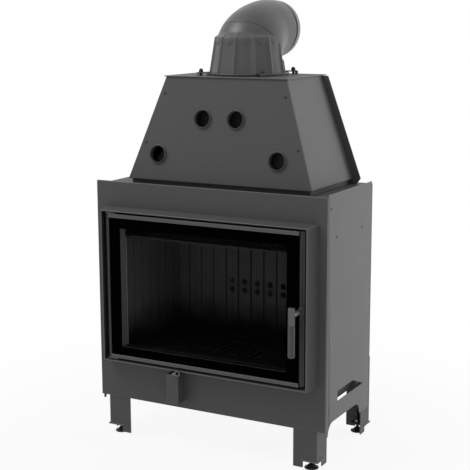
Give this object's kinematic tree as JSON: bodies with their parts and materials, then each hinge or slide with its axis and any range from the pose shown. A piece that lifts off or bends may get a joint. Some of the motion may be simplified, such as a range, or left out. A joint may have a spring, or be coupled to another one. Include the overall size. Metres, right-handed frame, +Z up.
{
  "type": "fireplace insert",
  "caption": "Steel fireplace insert on legs with a glazed swing door, pyramid hood with round air ports, and a ribbed cast iron flue elbow turned to the rear.",
  "frame": {"origin": "on the floor under the middle of the whole width and depth", "axes": "+Z up, the door faces -Y, +X to the right seen from the front"},
  "size_m": [0.794, 0.566, 1.376],
  "materials": {
    "casing_paint": "matt heat-proof dark grey paint on sheet steel",
    "cast_paint": "cast iron with grey heat-proof paint",
    "firebox_steel": "black heat-proof paint on steel plate",
    "lining_board": "dark grooved lining boards",
    "cast_grate": "raw dark cast iron",
    "pane": "clear ceramic glass with a black printed border",
    "bare_steel": "bare and plated steel",
    "grip_black": "dark grip",
    "rope_seal": "graphite coloured glass fibre seal",
    "black_fastener": "blackened steel"
  },
  "bodies": {
    "casing": {"front_casing": "casing_paint", "door_surround": "casing_paint", "side_panel_left": "casing_paint", "side_panel_right": "casing_paint", "casing_top_plate": "casing_paint", "casing_back_panel": "casing_paint", "base_tray": "casing_paint", "firebox_shell": "firebox_steel", "firebox_front_frame": "firebox_steel", "air_deflector": "bare_steel", "smoke_dome": "firebox_steel", "hood_base_frame": "casing_paint", "hood_front_panel": "casing_paint", "hood_side_left": "casing_paint", "hood_side_right": "casing_paint", "hood_rear_panel": "casing_paint", "hood_top_plate": "casing_paint", "hood_port_collars": "casing_paint", "flue_spigot": "firebox_steel", "flue_clamps": "cast_paint", "flue_clamp_studs": "black_fastener", "lining_back": "lining_board", "lining_left": "lining_board", "lining_right": "lining_board", "lining_floor": "lining_board", "baffle": "firebox_steel", "grate": "cast_grate", "ash_pan": "bare_steel", "air_box": "casing_paint", "lever_cover": "casing_paint", "leg_front_left": "casing_paint", "leg_front_right": "casing_paint", "leg_rear_left": "casing_paint", "leg_rear_right": "casing_paint", "foot_nuts": "bare_steel", "casing_screws": "black_fastener", "hinge_brackets": "casing_paint", "latch_keeper": "bare_steel"},
    "door": {"door_frame": "casing_paint", "door_glass": "pane", "glass_top_strip": "bare_steel", "glass_bottom_strip": "bare_steel", "glass_gasket": "rope_seal", "door_gasket": "rope_seal", "hinge_pins": "bare_steel", "handle_rosette": "casing_paint"},
    "handle": {"handle_shaft": "bare_steel", "handle_grip": "grip_black", "handle_sleeve": "bare_steel", "latch_cam": "bare_steel"},
    "air_control": {"air_lever": "bare_steel", "air_damper": "bare_steel"},
    "flue_base": {"flue_lower_casting": "cast_paint"},
    "flue_top": {"flue_elbow": "cast_paint", "flue_outlet_collar": "casing_paint"},
    "foot_fl": {"foot_front_left": "black_fastener"},
    "foot_fr": {"foot_front_right": "black_fastener"},
    "foot_rl": {"foot_rear_left": "black_fastener"},
    "foot_rr": {"foot_rear_right": "black_fastener"}
  },
  "joints": [
    {"name": "door_hinge", "type": "hinge", "parent": "casing", "child": "door", "pos_m": [-0.325, -0.207, 0.4965], "axis": [0, 0, -1], "range_deg": [0, 100]},
    {"name": "handle_turn", "type": "hinge", "parent": "door", "child": "handle", "pos_m": [0.331, -0.223, 0.496], "axis": [0, 1, 0], "range_deg": [0, 90]},
    {"name": "air_slide", "type": "slide", "parent": "casing", "child": "air_control", "axis": [-1, 0, 0], "range_m": [0, 0.02]},
    {"name": "flue_turn", "type": "hinge", "parent": "casing", "child": "flue_base", "pos_m": [0, 0.091, 1.15], "axis": [0, 0, 1], "continuous": true},
    {"name": "elbow_turn", "type": "hinge", "parent": "flue_base", "child": "flue_top", "pos_m": [0, 0.109, 1.238], "axis": [0, 0.7071, 0.7071], "range_deg": [0, 180]},
    {"name": "foot_fl_screw", "type": "slide", "parent": "casing", "child": "foot_fl", "axis": [0, 0, -1], "range_m": [0, 0.02]},
    {"name": "foot_fr_screw", "type": "slide", "parent": "casing", "child": "foot_fr", "axis": [0, 0, -1], "range_m": [0, 0.02]},
    {"name": "foot_rl_screw", "type": "slide", "parent": "casing", "child": "foot_rl", "axis": [0, 0, -1], "range_m": [0, 0.02]},
    {"name": "foot_rr_screw", "type": "slide", "parent": "casing", "child": "foot_rr", "axis": [0, 0, -1], "range_m": [0, 0.02]}
  ]
}
